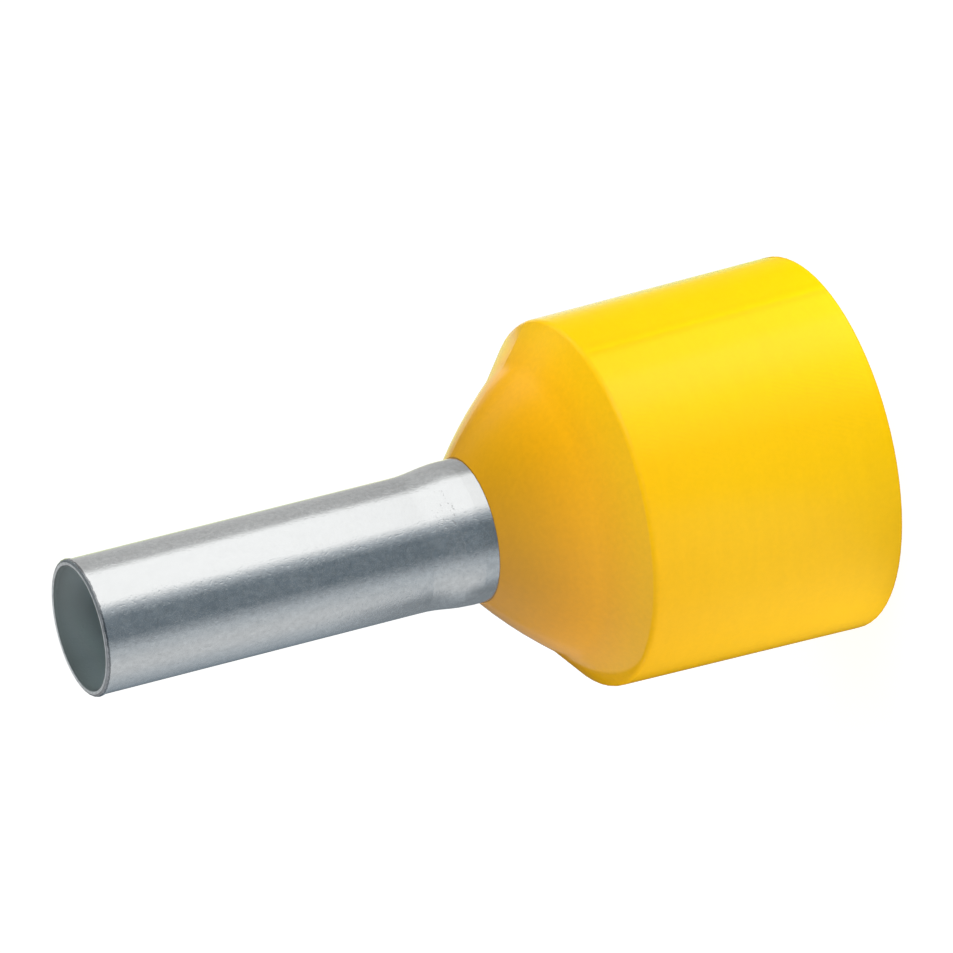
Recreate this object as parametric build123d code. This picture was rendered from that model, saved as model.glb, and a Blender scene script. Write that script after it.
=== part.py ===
from build123d import *
import os
from math import cos, radians, sin, tan

# Lengths along the axis in millimetres, with the collar's mouth at z = 0 and the sleeve's tip on top
exposed_length = 12.0
collar_length = 11.0

# Metal sleeve, a thin drawn tube for a conductor of 6 square millimetres
sleeve_bore = 3.5
sleeve_wall = 0.2
tip_lip = 0.035
seat_swell = 0.14
seat_grip = 1.0
step_lead = 1.7
step_angle = 8.0
step_radius = 4.0
flare_reach = 0.71
flare_angle = 40.0
flare_radius = 0.8

# Insulating collar, moulded with a wide mouth for a conductor with thick insulation
insulation_bore = 9.7
collar_wall = 0.625
collar_draft = 0.9
cone_length = 3.27
steep_length = 1.02
steep_angle = 47.8
shoulder_round = 0.25
knee_round = 1.5
nose_crown = 0.085
nose_land = 0.03
mouth_round = 0.06
mouth_chamfer = 0.15
funnel_round = 0.5

overall_length = collar_length + exposed_length
sleeve_radius = sleeve_bore / 2 + sleeve_wall
bead_radius = (sleeve_wall + tip_lip) / 2
bead_middle = sleeve_bore / 2 + bead_radius
bead_level = overall_length - bead_radius
seat_radius = sleeve_radius + seat_swell
flare_rim = seat_radius + flare_reach
flare_start = collar_length - seat_grip
flare_end = flare_start - flare_reach / tan(radians(flare_angle))
bore_radius = insulation_bore / 2
mouth_radius = bore_radius + collar_wall
shoulder_level = collar_length - cone_length


def sleeve_line(inset):
    """Half section of the sleeve's wall from bead to flare, at a depth of inset under its outer face."""
    step_start = collar_length + step_lead
    step_end = step_start - seat_swell / tan(radians(step_angle))
    step_shift = inset * tan(radians(step_angle / 2))
    flare_shift = inset * tan(radians(flare_angle / 2))
    rim_in = inset * cos(radians(flare_angle))
    rim_down = inset * sin(radians(flare_angle))
    return FilletPolyline(
        (sleeve_radius - inset, bead_level),
        (sleeve_radius - inset, step_start - step_shift),
        (seat_radius - inset, step_end - step_shift),
        (seat_radius - inset, flare_start - flare_shift),
        (flare_rim - rim_in, flare_end - rim_down),
        radius=[step_radius + inset, step_radius - inset, flare_radius + inset],
    )


def rounded(section, corner, radius):
    """The same section with its corner at that point rounded."""
    return fillet(section.vertices().sort_by_distance(corner)[0], radius)


def turned(section):
    """Solid that a half section sweeps round the axis."""
    return revolve(Plane.XZ * section, Axis.Z)


def metal_sleeve():
    """Tube with a round bead at its tip, a widened seat for the collar and a flared rear end."""
    outer = sleeve_line(0)
    inner = sleeve_line(sleeve_wall)
    top = Line(outer @ 0, inner @ 0)
    rim = Line(outer @ 1, inner @ 1)
    wall = make_face(outer.edges() + inner.edges() + [top, rim])
    bead = Pos(bead_middle, bead_level) * Circle(bead_radius)
    return turned(wall + bead)


def sleeve_envelope():
    """Half section of the sleeve filled to the axis, the space that it takes in the collar."""
    outer = sleeve_line(0)
    top = Line((0, bead_level), outer @ 0)
    base = Line(outer @ 1, (0, flare_end))
    axis = Line((0, flare_end), (0, bead_level))
    return make_face(outer.edges() + [top, base, axis])


def collar_outside():
    """Half section of the collar's outer form: drafted wall, steep cone, knee and crowned nose."""
    shoulder_radius = mouth_radius - shoulder_level * tan(radians(collar_draft))
    shoulder = (shoulder_radius, shoulder_level)
    knee_radius = shoulder_radius - steep_length * tan(radians(steep_angle))
    knee = (knee_radius, shoulder_level + steep_length)
    nose = (seat_radius + nose_land, collar_length)
    wall = Line((mouth_radius, 0), shoulder)
    cone = Line(shoulder, knee)
    crown = SagittaArc(knee, nose, -nose_crown)
    land = Polyline(nose, (0, collar_length), (0, 0), (mouth_radius, 0))
    section = make_face([wall, cone, crown] + land.edges())
    section = rounded(section, shoulder, shoulder_round)
    section = rounded(section, knee, knee_round)
    return rounded(section, (mouth_radius, 0), mouth_round)


def collar_cavity():
    """Half section of the hollow: chamfered mouth, straight bore and the funnel down to the flare."""
    funnel_start = (bore_radius, shoulder_level - collar_wall)
    outline = Polyline(
        (0, 0),
        (bore_radius + mouth_chamfer, 0),
        (bore_radius, mouth_chamfer),
        funnel_start,
        (flare_rim, flare_end),
        (0, flare_end),
        close=True,
    )
    return rounded(make_face(outline), funnel_start, funnel_round)


def insulating_collar():
    """Moulded collar, open from its mouth to the hole that grips the sleeve."""
    return turned(collar_outside() - collar_cavity() - sleeve_envelope())


os.makedirs("parts", exist_ok=True)
export_step(metal_sleeve(), "parts/metal_sleeve.step")
export_step(insulating_collar(), "parts/insulating_collar.step")
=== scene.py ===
from collections import namedtuple
from math import asin, cos, degrees, pi, radians, sin

import bpy
from mathutils import Matrix, Vector


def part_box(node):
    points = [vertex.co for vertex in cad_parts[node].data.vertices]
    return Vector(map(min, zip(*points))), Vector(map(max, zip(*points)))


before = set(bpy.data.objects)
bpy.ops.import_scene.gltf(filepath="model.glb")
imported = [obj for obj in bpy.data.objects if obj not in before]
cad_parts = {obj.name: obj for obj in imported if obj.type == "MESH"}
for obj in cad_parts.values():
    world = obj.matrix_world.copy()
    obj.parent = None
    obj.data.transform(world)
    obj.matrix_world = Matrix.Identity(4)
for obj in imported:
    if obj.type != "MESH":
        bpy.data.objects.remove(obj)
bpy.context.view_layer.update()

MM = 0.001
MICRON = 0.000001

# The frame's boxes, read before anything is added
TIP = Vector((0, 0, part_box("metal_sleeve")[1][2]))
NOSE = Vector((0, 0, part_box("insulating_collar")[1][2]))

# Camera, from the outline of the ferrule in the photograph
PHOTO_WIDTH = 953
FOCAL_PIXELS = 9672
SENSOR = 36.0
AXIS_AWAY = radians(21.655)
AXIS_TILT = radians(14.108)
TIP_PIXEL = (78.866, 628.530)
TIP_DEPTH = 268.97 * MM
CLIP = (0.01, 10)

# Tin plating: bands under the tip as (depth where it starts, depth where it is full), then radii. The band
# under the cut face is painted shadow, the cut face carries a painted highlight and painted shade, and the
# bore painted light and shade.
CUT_FACE = (0.052 * MM, 0.038 * MM)
LIP_SHADOW_BAND = (0.100 * MM, 0.085 * MM)
FLANK = (0.25 * MM, 0.21 * MM)
FLANK_RADIUS = (1.88 * MM, 1.90 * MM)
LIP_RADIUS = (1.885 * MM, 1.905 * MM)
INSIDE_RADIUS = (1.825 * MM, 1.80 * MM)
NICK_DEPTH = 0.07 * MM
BORE_DEPTH = 1.5 * MM
# Painted shade across the bore: darker towards -X, lighter towards +X
BORE_SIDE_SHADE = (-0.9 * MM, 1.3 * MM, 0.72, 1.5)
# Turn where the sleeve's highlight falls, and the band about it where the tin's mottle fades
CALM_TURN = radians(30)
CALM_EDGE = (radians(14), radians(24), 0.12, 1.0)
TIN = [(0.3, (0.69, 0.70, 0.70, 1)), (0.7, (0.71, 0.72, 0.72, 1))]
# The bore's colour is painted light and shade: dark at the rim, lighter deeper in
BORE_PAINTED_SHADE = [(0.0, (0.10, 0.118, 0.12, 1)), (1.0, (0.58, 0.67, 0.69, 1))]
# Painted shadow in the band under the cut face
LIP_SHADOW_GREY = (0.10, 0.11, 0.12, 1)
# The cut face: a painted highlight towards the bore and painted shade at its outer edge
FACE_PAINTED_HIGHLIGHT = (0.93, 0.96, 0.99, 1)
FACE_PAINTED_SHADE = (0.31, 0.33, 0.355, 1)

# Plastic: the wall up to its shoulder, its mould's seam with painted highlight and shade lines beside it,
# and the slanting ripple beside the highlight, whose colour is painted light and shade
WALL_RADIUS = 5.4 * MM
WALL_MIDDLE = 3.5 * MM
SHOULDER = 7.8 * MM
SHOULDER_BLEND = 0.4 * MM
SEAM_TURN = radians(49.5)
SEAM_LEAN = 0.015
SEAM_WAVER = 0.05 * MM
SEAM_WIDTH = 0.12 * MM
# Painted shade below and above the seam and a painted highlight on it, as (offset, width)
SEAM_SHADE_BELOW = (-0.15 * MM, 0.11 * MM)
SEAM_HIGHLIGHT = (0.06 * MM, 0.09 * MM)
SEAM_SHADE_ABOVE = (0.27 * MM, 0.13 * MM)
RIPPLE_SLANT = radians(25)
RIPPLE_WAVER = 0.25 * MM
RIPPLE_LENGTH = 0.13 * MM
RIPPLE_PLACE = (radians(14), radians(13))
SMOOTH_PLACE = (radians(92), radians(20))
MEAN_TINT = 0.985
# Colour by height, as a share of the way from the mouth to the nose: lighter near the mouth as painted
# light, darker towards the nose as painted shade over the sleeve
PLASTIC_LIGHT_AND_SHADE = [
    (0.0, (0.965, 0.575, 0.002, 1)),
    (0.06, (0.955, 0.560, 0.002, 1)),
    (0.23, (0.945, 0.535, 0.002, 1)),
    (0.45, (0.93, 0.520, 0.002, 1)),
    (0.66, (0.915, 0.490, 0.002, 1)),
    (0.73, (0.925, 0.475, 0.002, 1)),
    (0.755, (0.93, 0.455, 0.002, 1)),
    (0.80, (0.885, 0.400, 0.002, 1)),
    (0.865, (0.79, 0.350, 0.002, 1)),
    (0.955, (0.655, 0.300, 0.004, 1)),
    (1.0, (0.62, 0.282, 0.006, 1)),
]

# Floor: how it looks, how it is lit, and its glow towards -X, where it starts and then fades with distance
FLOOR_SIZE = 1.2
FLOOR_LIT = (0.85, 0.85, 0.85, 1)
FLOOR_SEEN = (0.3, 0.3, 0.3, 1)
FLOOR_WHITE = 0.87
BOUNCE_START = (-4.5 * MM, -6.5 * MM)
BOUNCE_FADE = (-9 * MM, -22 * MM, 0.9, 0.35)

# Flat ring of panels for the sleeve and close tent of panels for the collar's wall
RING_INNER = 5.3 * MM
RING_MIDDLE = 42 * MM
RING_OUTER = 590 * MM
FOOT_FADE = (6.5 * MM, 7.5 * MM)
SEAT_FADE = (28.5 * MM, 42 * MM)
RING_FADE = (480 * MM, 580 * MM)
FOOT_TONE = (0.01, 0.01, 0.01, 1)
FAR_TONE = (0.38, 0.38, 0.38, 1)
TENT_RADIUS = 5.75 * MM
TENT_FOOT = 5.54 * MM
TENT_TOP = 8.3 * MM
SHOULDER_FADE = (7.4 * MM, 7.8 * MM)
SHOULDER_DIM = (0.79, 0.82, 0.1, 1.0)
BAND_SIDES = 96
JUST_ABOVE = 0.02 * MM
TUBE_RADIUS = 1.95 * MM
# A ramp's colours end at 1, so panels are stored at a third of their level and their light makes up for it
STORED = 3.0

# Dim card on the lower side: a faintly glowing grey sheet seen only in reflections, which puts painted shade
# into the sleeve's lower side near the collar
FLAG_RADIUS = 20 * MM
FLAG_FADE = (5.6 * MM, 9.2 * MM)
FLAG_NEAR_END = (radians(-86), radians(-106))
FLAG_FAR_END = (radians(-179), radians(-145))
FLAG_SHADE_GREY = (0.24, 0.27, 0.295, 1)

# World, as (from, to, level from, level to) over the direction's z or x
LOW_GLOW = (0.0, 0.6, 1.84, 0.02)
SIDE_GLOW = (-0.2, 1.0, 0.0, 0.35)
CEILING_SIDES = (-0.6, 0.65, 0.9, 0.08)
CEILING_RISE = (0.0, 0.6, 0.15, 1.0)
HORIZON = (0.0, 0.08, 0.3, 0.0)
WHITE = (1, 1, 1, 1)

# Lamps: name, turn from the camera's side towards +X, rise, width, height, watts and tint
LIGHT_DISTANCE = 0.25
PLAIN = (1.0, 1.0, 1.0)
DAYLIGHT = (0.85, 1.0, 1.0)
LAMPS = [
    ("key_light", 47, 12, 0.16, 0.16, 0.435, DAYLIGHT),
    ("top_light", 120, 6, 0.16, 0.16, 0.40, DAYLIGHT),
    ("side_light", -70, 18, 0.20, 0.10, 0.11, PLAIN),
    ("fill_light", -135, 3, 0.20, 0.03, 0.33, PLAIN),
]

# Light seen in the tube: turn from the camera's side towards +X, in degrees on the metal, then level
TUBE_PANELS = [
    (-88, 0.13), (-79, 0.27), (-60, 0.52), (-48, 0.66), (-40, 0.67), (-28, 0.56), (-15, 0.195), (2, 0.205),
    (9, 0.52), (16, 1.25), (45, 1.25), (51, 0.58), (65, 0.52), (80, 0.60),
]
# Light seen in the sleeve's seat, next to the collar
SEAT_PANELS = [
    (-88, 0.18), (-79, 0.14), (-65, 0.17), (-50, 0.38), (-38, 0.53), (-27, 0.48), (-15, 0.16),
    (2, 0.17), (9, 0.45), (16, 1.12), (45, 1.12), (51, 0.43), (60, 0.42), (80, 0.48),
]
# The sleeve's panels below its highlight are cooler, the more so the dimmer they are under a level
COOL = (0.81, 1.0, 1.17)
COOL_SIDE = 47
COOL_LEVEL = 0.75
COOL_SPAN = 0.52
# Light behind the ferrule, which the far rim of the collar's cone shows
BEHIND_SEAT = (85, (1.35, 1.35, 0.85))
BEHIND_TUBE = (86, (0.92, 1.04, 0.52))
# Light seen in the collar's wall, in the same way but in red, green and blue
WALL_PANELS = [
    (-88, (0.0, 0.0, 0.0)), (-78, (0.02, 0.02, 0.02)), (-60, (0.13, 0.13, 0.13)), (-45, (0.30, 0.30, 0.30)),
    (-20, (0.20, 0.20, 0.20)), (-6, (0.01, 0.01, 0.01)), (6, (0.1, 0.1, 0.01)), (12, (1.0, 1.0, 0.18)),
    (20, (2.3, 2.3, 0.25)), (28, (2.8, 2.8, 0.75)), (34, (2.8, 2.8, 0.75)), (38, (2.3, 2.3, 0.36)),
    (45, (1.7, 1.7, 0.26)), (48, (1.05, 1.05, 0.0)), (53, (0.3, 0.3, 0.0)), (60, (0.25, 0.25, 0.0)),
    (66, (0.30, 0.35, 0.05)), (72, (0.28, 0.48, 0.12)), (78, (0.35, 0.72, 0.45)), (84, (0.68, 0.93, 0.90)),
    (89, (0.95, 1.05, 1.25)),
]
# Stops behind the wall's last panel, already in the ramp's own places and stored levels
TENT_BACK = [(0.818, (0.25, 0.28, 0.15, 1)), (0.87, (0.25, 0.28, 0.15, 1))]

Spot = namedtuple("Spot", "place x z out turn")


def new_material(name):
    """Empty node material, its node tree and its output."""
    material = bpy.data.materials.new(name)
    material.use_nodes = True
    tree = material.node_tree
    tree.nodes.clear()
    return material, tree, tree.nodes.new("ShaderNodeOutputMaterial")


def plug(tree, socket, value):
    """Links an output to a socket, or sets the socket's value."""
    if isinstance(value, bpy.types.NodeSocket):
        tree.links.new(value, socket)
    else:
        socket.default_value = value


def add(tree, kind, inputs=(), **settings):
    """New node with its settings, and its inputs by name or number."""
    node = tree.nodes.new(kind)
    for key, value in settings.items():
        setattr(node, key, value)
    for key, value in dict(inputs).items():
        plug(tree, node.inputs[key], value)
    return node


def calc(tree, operation, *values):
    """Result of a sum on one to three values."""
    node = add(tree, "ShaderNodeMath", enumerate(values), operation=operation)
    return node.outputs[0]


def ramp(tree, source, stops):
    """Colour ramp over a value, from (position, colour) stops."""
    node = add(tree, "ShaderNodeValToRGB", {"Fac": source})
    elements = node.color_ramp.elements
    elements.remove(elements[-1])
    elements[0].position, elements[0].color = stops[0]
    for position, colour in stops[1:]:
        elements.new(position).color = colour
    return node.outputs["Color"]


def grade(tree, source, low, high, start=0.0, end=1.0):
    """Value that goes from start to end as the source goes from low to high, and stays there."""
    inputs = {"Value": source, "From Min": low, "From Max": high, "To Min": start, "To Max": end}
    return add(tree, "ShaderNodeMapRange", inputs).outputs["Result"]


def blend(tree, factor, first, second):
    """Colour between two."""
    node = add(tree, "ShaderNodeMix", data_type="RGBA")
    plug(tree, node.inputs["Factor"], factor)
    plug(tree, node.inputs[6], first)
    plug(tree, node.inputs[7], second)
    return node.outputs[2]


def noise(tree, vector, scale, detail=2.0, roughness=0.5):
    """Noise about 0.5."""
    inputs = {"Vector": vector, "Scale": scale, "Detail": detail, "Roughness": roughness}
    return add(tree, "ShaderNodeTexNoise", inputs).outputs["Fac"]


def around(tree):
    """Object place in the ferrule's own directions, with x, z, distance from the axis and turn round it."""
    place = add(tree, "ShaderNodeTexCoord").outputs["Object"]
    x, y, z = add(tree, "ShaderNodeSeparateXYZ", {"Vector": place}).outputs
    out = calc(tree, "SQRT", calc(tree, "ADD", calc(tree, "MULTIPLY", x, x), calc(tree, "MULTIPLY", y, y)))
    turn = calc(tree, "ARCTAN2", x, calc(tree, "MULTIPLY", y, -1.0))
    return Spot(place, x, z, out, turn)


def stretched(tree, place, x, y, z):
    """Place scaled along each axis."""
    node = add(tree, "ShaderNodeVectorMath", {0: place, 1: (x, y, z)}, operation="MULTIPLY")
    return node.outputs[0]


def total(tree, *parts):
    """Sum of (share, value) parts."""
    result = 0.0
    for share, value in parts:
        result = calc(tree, "MULTIPLY_ADD", value, share, result)
    return result


def relief(tree, height, normal=None):
    """Normal from a height in microns, over the surface's own normal or a given one."""
    inputs = {"Height": height, "Strength": 1.0, "Distance": MICRON}
    if normal is not None:
        inputs["Normal"] = normal
    return add(tree, "ShaderNodeBump", inputs).outputs["Normal"]


def tinted(tree, colour, factor):
    """Colour times a factor."""
    node = add(tree, "ShaderNodeVectorMath", {0: colour, "Scale": factor}, operation="SCALE")
    return node.outputs[0]


def hump(tree, value, middle, width):
    """Smooth hump, 1 where the value is at its middle."""
    off = calc(tree, "DIVIDE", calc(tree, "SUBTRACT", value, middle), width)
    return calc(tree, "EXPONENT", calc(tree, "MULTIPLY", calc(tree, "MULTIPLY", off, off), -1.0))


def unless(tree, mask, value):
    """Value where the mask is 0, and 0 where it is 1."""
    return calc(tree, "MULTIPLY", value, grade(tree, mask, 0.0, 1.0, 1.0, 0.0))


def under_tip(tree, level, band):
    """Mask that comes in over a band of depths under the tip and stays in up to it."""
    return grade(tree, level, TIP[2] - band[0], TIP[2] - band[1])


def tinned_metal():
    """Satin tin plating on drawn copper, with matt grain, drawing lines, small pits and a nicked rim, and
    painted highlight, shadow and shade at the tip and in the bore.
    """
    material, tree, output = new_material("tin_plating")
    spot = around(tree)
    cloud = noise(tree, stretched(tree, spot.place, 1, 1, 0.4), 2600.0, 3.0, 0.6)
    streaks = noise(tree, stretched(tree, spot.place, 1, 1, 0.25), 9000.0, 2.0, 0.6)
    grain = noise(tree, spot.place, 21000.0, 2.0, 0.7)
    specks = noise(tree, stretched(tree, spot.place, 1, 1, 0.6), 12000.0, 2.0, 0.6)
    pits = grade(tree, noise(tree, spot.place, 10000.0, 1.0), 0.60, 0.68)
    nicks = noise(tree, spot.place, 6000.0, 2.0, 0.6)

    # Parts of the tip, with uneven edges
    edge = calc(tree, "MULTIPLY_ADD", calc(tree, "SUBTRACT", nicks, 0.5), NICK_DEPTH, spot.z)
    face = under_tip(tree, edge, CUT_FACE)
    lip_shadow = unless(tree, face, under_tip(tree, edge, LIP_SHADOW_BAND))
    flank = unless(tree, face, under_tip(tree, spot.z, FLANK))
    flank = calc(tree, "MULTIPLY", flank, grade(tree, spot.out, *FLANK_RADIUS))
    inside = grade(tree, spot.out, *INSIDE_RADIUS)

    # Colour: the mottle and the dots stay out of the band where the highlight falls, which keeps the
    # highlight flat
    off = calc(tree, "ABSOLUTE", calc(tree, "SUBTRACT", spot.turn, CALM_TURN))
    off_highlight = grade(tree, off, *CALM_EDGE)
    mottle = calc(tree, "SUBTRACT", noise(tree, spot.place, 6500.0, 3.0, 0.6), 0.5)
    dots = grade(tree, noise(tree, spot.place, 15000.0, 1.0), 0.63, 0.72)
    marks = calc(tree, "MULTIPLY", total(tree, (0.42, mottle), (-0.09, dots)), off_highlight)
    tone = tinted(tree, ramp(tree, cloud, TIN), calc(tree, "ADD", marks, 1.0))
    # Painted shadow: the band under the cut face turns dark grey
    tone = blend(tree, calc(tree, "MULTIPLY", lip_shadow, 0.75), tone, LIP_SHADOW_GREY)
    # Cut face: a painted highlight towards the bore and painted shade outside it, dimmer at the nicks
    face_highlight_and_shade = blend(tree, grade(tree, spot.out, *LIP_RADIUS), FACE_PAINTED_HIGHLIGHT, FACE_PAINTED_SHADE)
    tone = blend(tree, face, tone, tinted(tree, face_highlight_and_shade, grade(tree, nicks, 0.35, 0.6, 0.80, 1.0)))
    # Bore: painted light and shade that even out its lighting, dark at the rim and on the -X side, lighter
    # deeper in and towards +X
    bore_painted_shade = ramp(tree, grade(tree, spot.z, TIP[2], TIP[2] - BORE_DEPTH), BORE_PAINTED_SHADE)
    bore_painted_shade = tinted(tree, bore_painted_shade, grade(tree, spot.x, *BORE_SIDE_SHADE))
    colour = blend(tree, inside, tone, bore_painted_shade)

    # Gloss: smooth outside, duller on the cut face and dull in the bore
    rough = grade(tree, cloud, 0.3, 0.7, 0.11, 0.16)
    rough = grade(tree, face, 0.0, 1.0, rough, 0.35)
    rough = grade(tree, inside, 0.0, 1.0, rough, 0.8)
    matt = calc(tree, "SUBTRACT", total(tree, (0.6, specks), (0.2, cloud), (0.2, streaks)), 0.5)
    matt = calc(tree, "MULTIPLY_ADD", matt, off_highlight, 0.5)
    metallic = grade(tree, matt, 0.38, 0.62, 1.0, 0.93)
    metallic = grade(tree, face, 0.0, 1.0, metallic, 0.65)
    metallic = grade(tree, inside, 0.0, 1.0, metallic, 0.1)

    # Relief: the rounded flank under the cut face is shown upright
    height = total(tree, (3.0, cloud), (0.7, streaks), (1.2, grain), (1.5, specks), (-1.2, pits))
    flat = stretched(tree, spot.place, 1, 1, 0)
    upright = add(tree, "ShaderNodeVectorMath", {0: flat}, operation="NORMALIZE").outputs[0]
    own = add(tree, "ShaderNodeNewGeometry").outputs["Normal"]
    normal = relief(tree, height, blend(tree, flank, own, upright))
    inputs = {"Base Color": colour, "Roughness": rough, "Metallic": metallic, "Normal": normal}
    shader = add(tree, "ShaderNodeBsdfPrincipled", inputs)
    plug(tree, output.inputs["Surface"], shader.outputs["BSDF"])
    return material


def wall_ripple(tree, spot, arc, waver):
    """Fine slanting waves on the wall, in patches beside the highlight."""
    along = calc(tree, "MULTIPLY", spot.z, sin(RIPPLE_SLANT))
    across = calc(tree, "SUBTRACT", along, calc(tree, "MULTIPLY", arc, cos(RIPPLE_SLANT)))
    across = calc(tree, "MULTIPLY_ADD", waver, RIPPLE_WAVER, across)
    waves = calc(tree, "SINE", calc(tree, "MULTIPLY", across, 2 * pi / RIPPLE_LENGTH))
    patches = grade(tree, noise(tree, spot.place, 1100.0), 0.42, 0.60)
    beside = hump(tree, spot.turn, *RIPPLE_PLACE)
    return calc(tree, "MULTIPLY", waves, calc(tree, "MULTIPLY", patches, beside))


def yellow_plastic():
    """Satin polypropylene with faint marks of its mould, painted shade that deepens it over the sleeve,
    painted light near its mouth and painted highlight and shade along its seam and ripple.
    """
    material, tree, output = new_material("yellow_polypropylene")
    spot = around(tree)
    grain = noise(tree, spot.place, 9000.0)
    rings = noise(tree, stretched(tree, spot.place, 0.15, 0.15, 1), 3600.0, 1.0)
    lines = noise(tree, stretched(tree, spot.place, 1, 1, 0.03), 4500.0, 2.0)
    waver = noise(tree, spot.place, 1500.0)
    on_wall = grade(tree, spot.z, SHOULDER, SHOULDER - SHOULDER_BLEND)
    arc = calc(tree, "MULTIPLY", spot.turn, WALL_RADIUS)
    ripple = wall_ripple(tree, spot, arc, waver)

    # Seam: a ridge with a painted highlight and painted shade lines beside it, leaning and wavering a little
    drift = calc(tree, "MULTIPLY_ADD", waver, SEAM_WAVER, calc(tree, "MULTIPLY_ADD", spot.z, SEAM_LEAN, arc))
    middle = SEAM_TURN * WALL_RADIUS + SEAM_WAVER / 2 + SEAM_LEAN * WALL_MIDDLE
    seam = hump(tree, drift, middle, SEAM_WIDTH)
    seam_shade_below, seam_highlight, seam_shade_above = [
        hump(tree, drift, middle + offset, width) for offset, width in (SEAM_SHADE_BELOW, SEAM_HIGHLIGHT, SEAM_SHADE_ABOVE)
    ]

    # Painted light near the mouth and painted shade towards the nose, over the sleeve
    height_light_and_shade = ramp(tree, grade(tree, spot.z, 0.0, NOSE[2]), PLASTIC_LIGHT_AND_SHADE)
    # Colour marks: the ripple is painted light and shade of its waves, and the seam's lines a painted
    # highlight between painted shade
    marks = total(tree, (0.022, ripple), (-0.085, seam_shade_below), (0.02, seam_highlight), (-0.05, seam_shade_above))
    marks = calc(tree, "MULTIPLY", marks, on_wall)
    speckle = calc(tree, "SUBTRACT", noise(tree, spot.place, 7000.0, 3.0, 0.6), 0.5)
    speckle = calc(tree, "MULTIPLY", speckle, grade(tree, on_wall, 0.0, 1.0, 0.16, 0.09))
    marks = total(tree, (1.0, marks), (0.02, grade(tree, rings, 0.3, 0.7)), (1.0, speckle))
    colour = tinted(tree, height_light_and_shade, calc(tree, "ADD", marks, MEAN_TINT))

    # Relief, calm on the +X side, where light from behind grazes the collar
    wall_marks = calc(tree, "MULTIPLY", total(tree, (0.9, ripple), (1.2, lines), (5.0, seam)), on_wall)
    height = total(tree, (0.6, grain), (1.0, wall_marks), (1.5, rings))
    calm = grade(tree, hump(tree, spot.turn, *SMOOTH_PLACE), 0.0, 0.6, 1.0, 0.05)
    normal = relief(tree, calc(tree, "MULTIPLY", height, calm))
    inputs = {"Base Color": colour, "Roughness": 0.16, "IOR": 1.49, "Normal": normal}
    shader = add(tree, "ShaderNodeBsdfPrincipled", inputs)
    plug(tree, output.inputs["Surface"], shader.outputs["BSDF"])
    return material


def seen_directly(tree):
    """1 for camera, glossy and transmission rays, 0 for the rays that carry light to a matt surface."""
    path = add(tree, "ShaderNodeLightPath").outputs
    seen = calc(tree, "MAXIMUM", path["Is Camera Ray"], path["Is Glossy Ray"])
    return calc(tree, "MAXIMUM", seen, path["Is Transmission Ray"])


def white_floor():
    """Pale floor that shows white, keeps a soft shadow and throws more light from its -X side."""
    material, tree, output = new_material("pale_floor")
    seen = seen_directly(tree)
    matt = add(tree, "ShaderNodeBsdfDiffuse", {"Color": blend(tree, seen, FLOOR_LIT, FLOOR_SEEN)})
    x = around(tree).x
    bounce = calc(tree, "MULTIPLY", grade(tree, x, *BOUNCE_START), grade(tree, x, *BOUNCE_FADE))
    strength = grade(tree, seen, 0.0, 1.0, bounce, FLOOR_WHITE)
    glow = add(tree, "ShaderNodeEmission", {"Color": WHITE, "Strength": strength})
    both = add(tree, "ShaderNodeAddShader", {0: matt.outputs[0], 1: glow.outputs[0]})
    plug(tree, output.inputs["Surface"], both.outputs[0])
    return material


def panel_turn(turn, wall, tent):
    """Turn at which a panel stands on a tent's radius when it shows at that turn of a wall's radius."""
    return 2 * turn - degrees(asin(wall / tent * sin(radians(turn))))


def panel_stops(panels, wall, tent):
    """Ramp stops for panels given by where they show and their colour, with ends that meet at the back."""
    places = [panel_turn(turn, wall, tent) / 360 + 0.5 for turn, colour in panels]
    tones = [(*[level / STORED for level in colour], 1) for turn, colour in panels]
    back = (*[(first + last) / 2 for first, last in zip(tones[0], tones[-1])][:3], 1)
    return [(0.0, back), *zip(places, tones), (1.0, back)]


def cool_panels(panels):
    """Colours for panels given by level: the dim ones below the highlight are cooler."""
    coloured = []
    for turn, level in panels:
        share = min(1.0, max(0.0, (COOL_LEVEL - level) / COOL_SPAN)) if turn < COOL_SIDE else 0.0
        coloured.append((turn, [level * (1 + (cool - 1) * share) for cool in COOL]))
    return coloured


def panel_light(name, shade):
    """Emission by direction round the ferrule, which makes up for the stored levels."""
    material, tree, output = new_material(name)
    spot = around(tree)
    tones = shade(tree, spot, grade(tree, spot.turn, -pi, pi))
    glow = add(tree, "ShaderNodeEmission", {"Color": tones, "Strength": STORED})
    plug(tree, output.inputs["Surface"], glow.outputs[0])
    return material


def sleeve_tones(tree, spot, turned):
    """Panels for the seat near the ferrule and for the tube further out."""
    seat, tube = [
        ramp(tree, turned, panel_stops(cool_panels(panels) + [behind], TUBE_RADIUS, RING_MIDDLE))
        for panels, behind in ((SEAT_PANELS, BEHIND_SEAT), (TUBE_PANELS, BEHIND_TUBE))
    ]
    near = blend(tree, grade(tree, spot.out, *SEAT_FADE), seat, tube)
    near = blend(tree, grade(tree, spot.out, *FOOT_FADE), FOOT_TONE, near)
    return blend(tree, grade(tree, spot.out, *RING_FADE), near, FAR_TONE)


def wall_tones(tree, spot, turned):
    """Panels for the collar's wall, fading where its rounded shoulder sees them, except at the back."""
    stops = panel_stops(WALL_PANELS, WALL_RADIUS, TENT_RADIUS)
    panels = ramp(tree, turned, [*stops[:-1], *TENT_BACK, stops[-1]])
    low = grade(tree, turned, *SHOULDER_DIM)
    return tinted(tree, panels, grade(tree, spot.z, *SHOULDER_FADE, 1.0, low))


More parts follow.
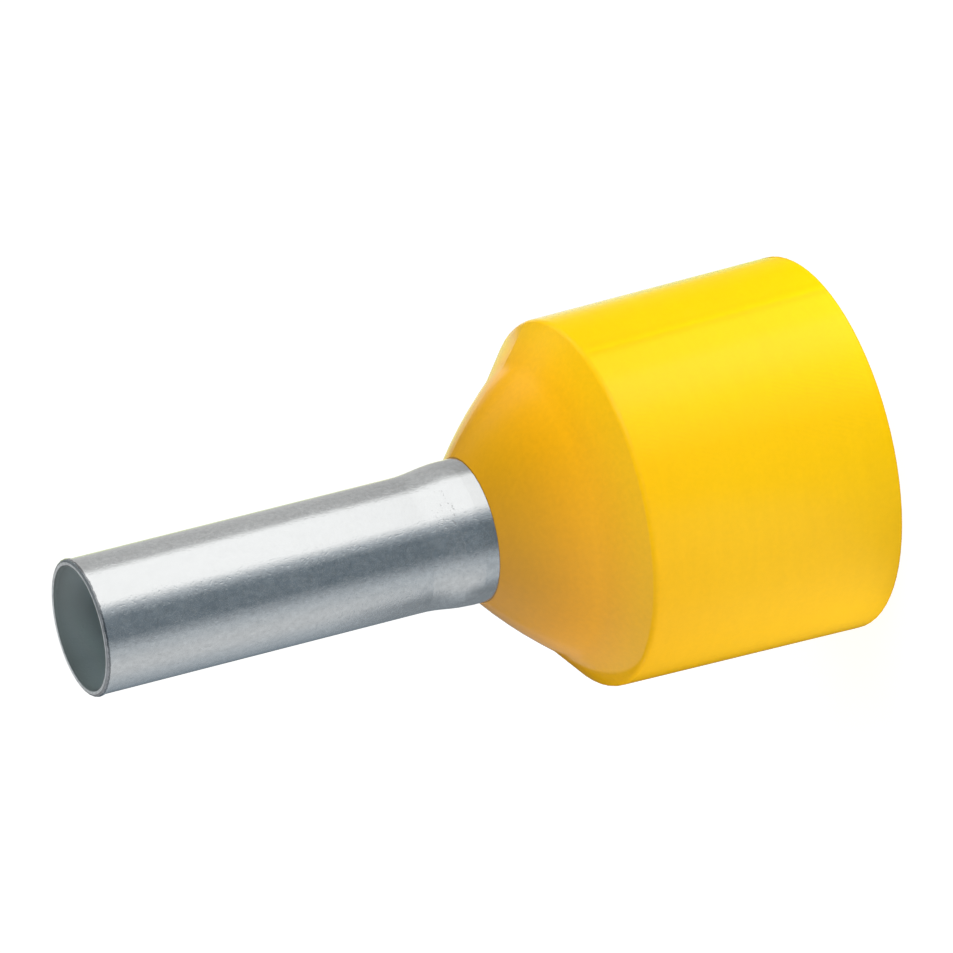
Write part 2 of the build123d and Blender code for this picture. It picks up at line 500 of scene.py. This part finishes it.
def shade_card():
    """Dim grey card on the ferrule's lower side, a glowing sheet that puts painted shade into reflections,
    fading out at its top and ends.
    """
    material, tree, output = new_material("shade_card")
    spot = around(tree)
    share = grade(tree, spot.z, *FLAG_FADE, 1.0, 0.0)
    for end in (FLAG_NEAR_END, FLAG_FAR_END):
        share = calc(tree, "MULTIPLY", share, grade(tree, spot.turn, *end))
    clear = tree.nodes.new("ShaderNodeBsdfTransparent")
    glow = add(tree, "ShaderNodeEmission", {"Color": FLAG_SHADE_GREY, "Strength": 1.0})
    card = add(tree, "ShaderNodeMixShader", {0: share, 1: clear.outputs[0], 2: glow.outputs[0]})
    plug(tree, output.inputs["Surface"], card.outputs[0])
    return material


def photo_camera():
    """Camera at the photograph's angle, roll and framing, looking at the standing ferrule."""
    roll = -(pi / 2 + AXIS_TILT)
    level = Vector((1, 0, 0))
    back = Vector((0, -cos(AXIS_AWAY), sin(AXIS_AWAY)))
    above = back.cross(level)
    right = level * cos(roll) + above * sin(roll)
    up = above * cos(roll) - level * sin(roll)
    centre = PHOTO_WIDTH / 2
    across = (TIP_PIXEL[0] - centre) / FOCAL_PIXELS * TIP_DEPTH
    down = (TIP_PIXEL[1] - centre) / FOCAL_PIXELS * TIP_DEPTH
    place = TIP - right * across + up * down + back * TIP_DEPTH
    data = bpy.data.cameras.new("photo_camera")
    data.sensor_width = SENSOR
    data.lens = FOCAL_PIXELS / PHOTO_WIDTH * SENSOR
    data.clip_start, data.clip_end = CLIP
    camera = bpy.data.objects.new("photo_camera", data)
    camera.matrix_world = Matrix((
        (right.x, up.x, back.x, place.x),
        (right.y, up.y, back.y, place.y),
        (right.z, up.z, back.z, place.z),
        (0, 0, 0, 1),
    ))
    bpy.context.scene.collection.objects.link(camera)
    bpy.context.scene.camera = camera


def stage_mesh(name, vertices, faces, material):
    """Mesh object of the studio, which is not part of the ferrule."""
    mesh = bpy.data.meshes.new(name)
    mesh.from_pydata(vertices, [], faces)
    mesh.materials.append(material)
    thing = bpy.data.objects.new(name, mesh)
    bpy.context.scene.collection.objects.link(thing)
    return thing


def floor():
    """Wide square floor at the level of the collar's mouth."""
    half = FLOOR_SIZE / 2
    corners = [(-half, -half, 0), (half, -half, 0), (half, half, 0), (-half, half, 0)]
    stage_mesh("floor", corners, [(0, 1, 2, 3)], white_floor())


def panel_band(name, low_edge, high_edge, material):
    """Band of panels round the axis between two (radius, level) edges, which only reflections see."""
    turns = [2 * pi * i / BAND_SIDES for i in range(BAND_SIDES)]
    vertices = [(r * cos(t), r * sin(t), z) for r, z in (low_edge, high_edge) for t in turns]
    nexts = [(i + 1) % BAND_SIDES for i in range(BAND_SIDES)]
    faces = [(i, j, BAND_SIDES + j, BAND_SIDES + i) for i, j in enumerate(nexts)]
    band = stage_mesh(name, vertices, faces, material)
    band.visible_camera = False
    band.visible_diffuse = False
    band.visible_shadow = False
    band.visible_transmission = False


def soft_light(name, azimuth, rise, width, height, watts, tint):
    """Area light that looks at the ferrule's middle; azimuth 0 is the camera's side, 90 is +X."""
    a, e = radians(azimuth), radians(rise)
    toward = Vector((sin(a) * cos(e), -cos(a) * cos(e), sin(e)))
    data = bpy.data.lights.new(name, "AREA")
    data.shape = "RECTANGLE"
    data.size = width
    data.size_y = height
    data.energy = watts
    data.color = tint
    lamp = bpy.data.objects.new(name, data)
    lamp.location = TIP / 2 + toward * LIGHT_DISTANCE
    lamp.rotation_euler = toward.to_track_quat("Z", "Y").to_euler()
    lamp.visible_camera = False
    lamp.visible_glossy = False
    bpy.context.scene.collection.objects.link(lamp)


def pale_world():
    """Surroundings: white to the camera, a pale ceiling in reflections, soft light from low down besides."""
    world = bpy.data.worlds.new("surroundings")
    world.use_nodes = True
    tree = world.node_tree
    tree.nodes.clear()
    direction = add(tree, "ShaderNodeTexCoord").outputs["Generated"]
    x, y, z = add(tree, "ShaderNodeSeparateXYZ", {"Vector": direction}).outputs
    low_light = calc(tree, "ADD", grade(tree, z, *LOW_GLOW), grade(tree, x, *SIDE_GLOW))
    ceiling = calc(tree, "MULTIPLY", grade(tree, x, *CEILING_SIDES), grade(tree, z, *CEILING_RISE))
    ceiling = calc(tree, "ADD", ceiling, grade(tree, z, *HORIZON))
    path = add(tree, "ShaderNodeLightPath").outputs
    strength = blend(tree, path["Is Glossy Ray"], low_light, ceiling)
    strength = blend(tree, path["Is Camera Ray"], strength, WHITE)
    background = add(tree, "ShaderNodeBackground", {"Color": WHITE, "Strength": strength})
    output = tree.nodes.new("ShaderNodeOutputWorld")
    plug(tree, output.inputs["Surface"], background.outputs[0])
    bpy.context.scene.world = world


def dress(node, material):
    """Gives a CAD node its finished material."""
    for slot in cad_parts[node].material_slots:
        slot.material = material


dress("metal_sleeve", tinned_metal())
dress("insulating_collar", yellow_plastic())
photo_camera()
floor()
sleeve_panels = panel_light("sleeve_panels", sleeve_tones)
wall_panels = panel_light("wall_panels", wall_tones)
panel_band("panel_ring", (RING_INNER, JUST_ABOVE), (RING_OUTER, JUST_ABOVE), sleeve_panels)
panel_band("panel_tent", (TENT_FOOT, JUST_ABOVE), (TENT_RADIUS, TENT_TOP), wall_panels)
panel_band("shade_card", (FLAG_RADIUS, JUST_ABOVE), (FLAG_RADIUS, FLAG_FADE[1]), shade_card())
pale_world()
for lamp in LAMPS:
    soft_light(*lamp)

bpy.context.scene.view_settings.view_transform = "Standard"
